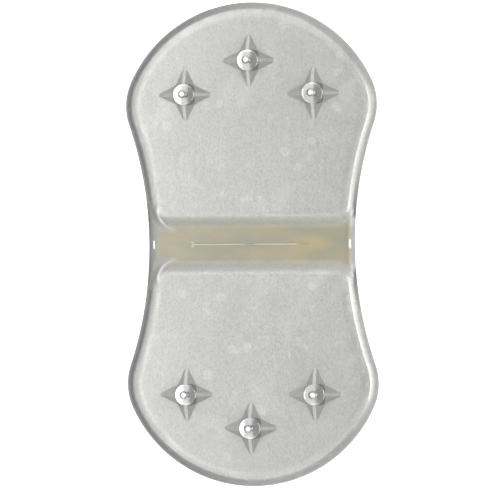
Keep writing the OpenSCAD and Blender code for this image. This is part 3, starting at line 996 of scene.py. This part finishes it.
def urethane_material(finish, web):
    """Cast urethane. Where the silver tape lies behind it, it looks satin silver, with fine
    grain, faint clouds and patches, short white wisps and trapped air. At the rim and in the
    star bosses it is clear and darker, the rim widened along the -X side as painted shade;
    the bosses carry painted shade on their +X sides, spines and steep +X faces and painted
    light on the lands of the arms along the pad. A painted highlight runs round the rounded
    foot of each -X inner corner, and painted shade lies in wedges beside those corners, across
    the web's -X end and along the thin edge by the waist. Down the valley walls it turns grey,
    and on the web it has aged to amber, with a painted glow, its deepest yellow, in one patch."""
    material, n = new_material("amber_urethane" if web else "satin_urethane", IOR=1.5)
    clouds, mottle, grain = n.noise("clouds"), n.noise("mottle"), n.noise("grain")
    flecks = flecks_of(n)
    silver = n.shade(finish.silver, clouds, 0.9, 1.1)
    silver = n.shade(silver, n.noise("streaks"), 0.94, 1.06)
    silver = n.shade(silver, n.ramp(n.noise("patches"), 0.57, 0.66), 0.99, 1.07)
    silver = n.shade(silver, chips_of(n), 1.0, 1.13)
    silver = n.shade(silver, n.math("MULTIPLY", flecks, 0.6), 1.0, 1.36)
    amber = amber_with_glow(n, finish, clouds)
    if web:
        amber = n.mix(n.value("crease"), amber, finish.whitened)
    else:
        # Painted shade on the bosses: their +X sides, their spines and their steep +X faces are
        # darker; painted light on the lands of arms along the pad
        far = n.ramp(n.value("lean"), 0.5, 0.72)
        clear = n.mix(far, finish.boss, finish.boss_shade)
        clear = n.shade(clear, n.value("spine"), 1.0, 0.84)
        clear = n.shade(clear, n.math("MULTIPLY", n.value("steep"), far), 1.0, 0.6)
        clear = n.mix(n.value("land"), clear, finish.land)
        silver = n.mix(n.value("ground"), clear, silver)
    grey = n.ramp(n.value("valley"), *GREYING)
    body = n.mix(grey, silver, finish.valley)
    body = n.mix(n.ramp(n.value("valley"), *AGEING), body, amber)
    grainy = 0.35 if web else 1.0
    body = n.shade(body, mottle, 1 - 0.1 * grainy, 1 + 0.1 * grainy)
    body = n.shade(body, grain, 1 - 0.38 * grainy, 1 + 0.38 * grainy)
    # Painted highlight: a light line round the rounded foot of each -X inner corner
    body = n.mix(n.value("fillet"), body, finish.fillet)
    rim = n.mix(n.value("waist"), finish.clear, finish.clear_web)
    body = n.mix(n.value("rim"), body, n.shade(rim, mottle, 0.9, 1.1))
    # Painted shade: a dark line along the thin edge beside the waist
    n.feed("Base Color", n.mix(n.value("edge"), body, finish.edge))
    matt = n.ramp(n.noise("gloss"), 0.3, 0.7, 0.3, 0.42)
    if not web:
        sheen = n.math("SUBTRACT", n.value("ground"), n.math("ADD", grey, n.value("rim")))
        n.feed("Metallic", n.ramp(sheen, 0.0, 1.0, 0.0, 0.5, "LINEAR"))
        matt = n.math("ADD", matt, n.ramp(n.value("ground"), 0.0, 1.0, 0.22, 0.0))
    matt = n.math("SUBTRACT", matt, n.math("MULTIPLY", n.value("rim"), 0.14))
    n.feed("Roughness", n.math("ADD", matt, n.math("MULTIPLY", n.value("dull_and_shaded"), 0.4)))
    n.feed("Normal", n.bump(flecks, 0.02 * MM, Normal=n.bump(grain, 0.012 * MM)))
    return material


def metal_material(finish):
    """Turned and tumbled stud metal: fine rings of tool marks about each stud's own axis,
    with small scratches, the ball's top satin with wear and lighter as a painted highlight,
    and painted shade on the neck and under the ball."""
    material, n = new_material("polished_metal", Metallic=1.0)
    worn_and_lit, scratches = n.value("worn_and_lit"), n.noise("scratches")
    tone = n.shade(finish.metal, n.noise("tarnish"), 0.9, 1.05)
    # The ball's top: lighter metal as a painted highlight, and rougher with wear
    tone = n.shade(tone, worn_and_lit, 1.0, 1.6)
    # Painted shade on the neck and under the ball
    n.feed("Base Color", n.shade(tone, n.value("neck_shade"), 1.0, 0.35))
    gloss = n.ramp(scratches, 0.3, 0.75, 0.11, 0.19)
    n.feed("Roughness", n.math("ADD", gloss, n.math("MULTIPLY", worn_and_lit, 0.17)))
    n.feed("Normal", n.bump(n.math("ADD", n.noise("turning"), scratches), 0.0006 * MM))
    return material


def tape_material(finish):
    """Closed-cell foam tape: fine cells, slightly mottled."""
    material, n = new_material("foam_tape", Roughness=0.75)
    cells = n.cells(n.stretched(FOAM_CELLS))[0]
    tone = n.shade(finish.tape, n.noise("foam"), 0.88, 1.12)
    n.feed("Base Color", n.shade(tone, cells, 0.8, 1.1))
    n.feed("Normal", n.bump(cells, 0.05 * MM))
    return material


def liner_material(finish):
    """Release paper: crossed fibres under a smooth wax coat, with faint handling marks."""
    material, n = new_material("release_paper", Coat_Weight=0.25, Coat_Roughness=0.3)
    fibres = n.math("ADD", n.noise("fibres_a"), n.noise("fibres_b"))
    fibres = n.math("MULTIPLY", fibres, 0.5)
    marks = n.noise("handling")
    tone = n.shade(finish.liner, marks, 0.93, 1.05)
    n.feed("Base Color", n.shade(tone, fibres, 0.9, 1.08))
    n.feed("Roughness", n.ramp(marks, 0.3, 0.7, 0.42, 0.6))
    n.feed("Normal", n.bump(fibres, 0.015 * MM))
    return material


def floor_material(finish):
    """Pale sweep, lit from below as a light table is."""
    material, n = new_material("pale_floor", Roughness=0.9, Emission_Strength=1.0)
    n.feed("Emission Color", (1.0, 1.0, 1.0))
    n.feed("Base Color", n.shade(finish.floor, n.noise("sweep"), 0.985, 1.015))
    return material


# ---- operators -------------------------------------------------------------------


class STOMPPAD_OT_lobes(bpy.types.Operator):
    """Builds the two lobes of the moulding with their star bosses."""

    bl_idname = "stomp_pad.lobes"
    bl_label = "Build lobes"

    def execute(self, context):
        sizes = settings()
        points, faces, ground, feet = lobe_surface(sizes.shape, sizes.boss, sizes.stud.skirt_radius)
        material = urethane_material(sizes.finish, web=False)
        plan = Plan(sizes.shape)
        for end, sign in ENDS.items():
            turned = points * (sign, sign, 1)
            values = shading_values(plan, turned)
            lobe = make_object(f"{end}_lobe_moulding", turned, faces, LOBE_SHARP, values, feet)
            set_values(lobe, ground=ground, **leaning(lobe))
            finish_piece(lobe, material, f"{end}_lobe", f"{end}_half")
        return {"FINISHED"}


class STOMPPAD_OT_web(bpy.types.Operator):
    """Builds the hinge web between the lobes."""

    bl_idname = "stomp_pad.web"
    bl_label = "Build hinge web"

    def execute(self, context):
        sizes = settings()
        points, faces, values = web_surface(sizes.shape)
        web = make_object("hinge_web_moulding", points, faces, WEB_SHARP, values)
        finish_piece(web, urethane_material(sizes.finish, web=True), "hinge_web")
        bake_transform(web)
        return {"FINISHED"}


class STOMPPAD_OT_studs(bpy.types.Operator):
    """Turns the six metal studs."""

    bl_idname = "stomp_pad.studs"
    bl_label = "Build studs"

    def execute(self, context):
        sizes = settings()
        material = metal_material(sizes.finish)
        for end, sign in ENDS.items():
            for side, (x, y) in stud_spots(sizes.boss).items():
                node = f"{end}_{side}_stud"
                low, high, size = node_box(node)
                seat = high[2] - sizes.stud.ball_rise - sizes.stud.ball_radius
                points, faces = turned_surface(stud_profile(sizes.stud, seat - low[2]))
                over = (points[:, 2] - sizes.stud.ball_rise) / sizes.stud.ball_radius
                # Painted shade from the neck up under the ball
                neck_shade = smooth_step((points[:, 2] - NECK_SHADE_START) / MM) * smooth_step(-1.5 * over)
                # The ball's top share: satin with wear and lit as a painted highlight
                values = {"worn_and_lit": smooth_step(over + 0.5), "neck_shade": neck_shade}
                points = points + (low[0] + size[0] / 2, low[1] + size[1] / 2, seat)
                stud = make_object(f"{node}_turned", points, faces, STUD_SHARP, values)
                finish_piece(stud, material, node, f"{end}_half")
        return {"FINISHED"}


class STOMPPAD_OT_backing(bpy.types.Operator):
    """Builds the foam tapes and the release liners under them."""

    bl_idname = "stomp_pad.backing"
    bl_label = "Build backing"

    def execute(self, context):
        sizes = settings()
        plan = Plan(sizes.shape)
        sheets = {
            "tape": ("foam_tape", tape_material(sizes.finish), TAPE_ROUNDING, "half"),
            "liner": ("release_liner", liner_material(sizes.finish), LINER_ROUNDING, "sheet"),
        }
        for kind, (title, material, rounding, rides_on) in sheets.items():
            for end, sign in ENDS.items():
                low, high, _ = node_box(f"{end}_{kind}")
                inner, outer = sorted(np.abs([low[1], high[1]]))
                inset = CAD_BOX[1][1] - outer
                outline = plan.round_outline(inner, inset, sizes.shape.corner_radius - inset)
                points, faces = sheet_surface(outline * sign, low[2], high[2], rounding)
                sheet = make_object(f"{end}_{title}", points, faces, SHEET_SHARP)
                finish_piece(sheet, material, f"{end}_{kind}", f"{end}_{rides_on}")
        return {"FINISHED"}


class STOMPPAD_OT_stage(bpy.types.Operator):
    """Sets the floor, the soft lights and the camera."""

    bl_idname = "stomp_pad.stage"
    bl_label = "Build studio"

    def execute(self, context):
        floor = make_object("floor", FLOOR, [(0, 1, 2, 3)])
        floor.data.materials.append(floor_material(settings().finish))

        build_surround()
        context.scene.view_settings.view_transform = "Standard"
        for name, (place, width, height, radiance) in LIGHTS.items():
            add_softbox(name, place, width, height, radiance)
        add_camera()
        return {"FINISHED"}


def build_surround():
    """Soft light all round: a dome that is dimmer towards -X, with a bright round ceiling
    whose edge fades out, its middle a little towards -X."""
    world = bpy.data.worlds.new("studio")
    bpy.context.scene.world = world
    n = Nodes(world, "Background", "Generated")
    edge, full = (math.cos(math.radians(angle)) for angle in CEILING_FADE)
    shares = []
    for axis, span in (
        ((1.0, 0.0, 0.0), (*DOME_FADE, *DOME_LIGHT)),
        (CEILING_AXIS, (edge, full, 0.0, CEILING_LIGHT)),
    ):
        toward = n.add("VectorMath", {0: n.place, 1: axis}, operation="DOT_PRODUCT")
        shares.append(n.ramp(toward.outputs["Value"], *span))
    n.feed("Strength", n.math("ADD", *shares))
    n.feed("Color", (1.0, 1.0, 1.0))


def add_softbox(name, place, width, height, radiance):
    """A rectangular area light of an even radiance that faces the middle of the pad. Its
    height runs along Y and its width across, or the other way round for one on the Y axis."""
    light = bpy.data.lights.new(name, "AREA")
    light.shape = "RECTANGLE"
    light.size = width
    light.size_y = height
    light.energy = radiance * math.pi * width * height
    obj = bpy.data.objects.new(name, light)
    bpy.context.scene.collection.objects.link(obj)
    obj.visible_camera = False
    back = np.array(place) / np.linalg.norm(place)
    side = np.cross((0.0, 1.0, 0.0) if abs(place[0]) > 0 else (0.0, 0.0, 1.0), back)
    side /= np.linalg.norm(side)
    up = np.cross(back, side)
    turn = Matrix((side, up, back)).transposed().to_4x4()
    obj.matrix_world = Matrix.Translation(place) @ turn


def add_camera():
    """A long lens above the pad, tilted towards its +X side."""
    tilt = math.radians(CAMERA_TILT)
    camera = bpy.data.cameras.new("camera")
    camera.type = "PERSP"
    camera.sensor_width = SENSOR
    camera.lens = SENSOR * CAMERA_DISTANCE / VIEW_WIDTH
    camera.clip_start = 0.01
    camera.clip_end = 20
    obj = bpy.data.objects.new("camera", camera)
    bpy.context.scene.collection.objects.link(obj)
    place = CAMERA_AIM + CAMERA_DISTANCE * np.array([math.sin(tilt), 0.0, math.cos(tilt)])
    turn = Matrix.Rotation(math.radians(CAMERA_ROLL), 4, "Z")
    turn = Matrix.Rotation(tilt, 4, "Y") @ turn
    obj.matrix_world = Matrix.Translation(place.tolist()) @ turn
    bpy.context.scene.camera = obj


class STOMPPAD_PT_panel(bpy.types.Panel):
    """Lists the building steps."""

    bl_label = "Stomp pad"
    bl_idname = "STOMPPAD_PT_panel"
    bl_space_type = "VIEW_3D"
    bl_region_type = "UI"
    bl_category = "Stomp pad"

    def draw(self, context):
        for operator in OPERATORS:
            self.layout.operator(operator.bl_idname)


class StompPad(bpy.types.PropertyGroup):
    """All the sizes and colours of the pad."""

    shape: PointerProperty(type=PadShape)
    boss: PointerProperty(type=BossShape)
    stud: PointerProperty(type=StudShape)
    finish: PointerProperty(type=PadFinish)


OPERATORS = (
    STOMPPAD_OT_lobes,
    STOMPPAD_OT_web,
    STOMPPAD_OT_studs,
    STOMPPAD_OT_backing,
    STOMPPAD_OT_stage,
)
CLASSES = (PadShape, BossShape, StudShape, PadFinish, StompPad, *OPERATORS, STOMPPAD_PT_panel)


def register():
    for item in CLASSES:
        bpy.utils.register_class(item)
    bpy.types.Scene.stomp_pad = PointerProperty(type=StompPad)


def unregister():
    del bpy.types.Scene.stomp_pad
    for item in reversed(CLASSES):
        bpy.utils.unregister_class(item)


def main():
    register()
    for operator in OPERATORS:
        group, name = operator.bl_idname.split(".")
        getattr(getattr(bpy.ops, group), name)()


if __name__ == "__main__":
    main()
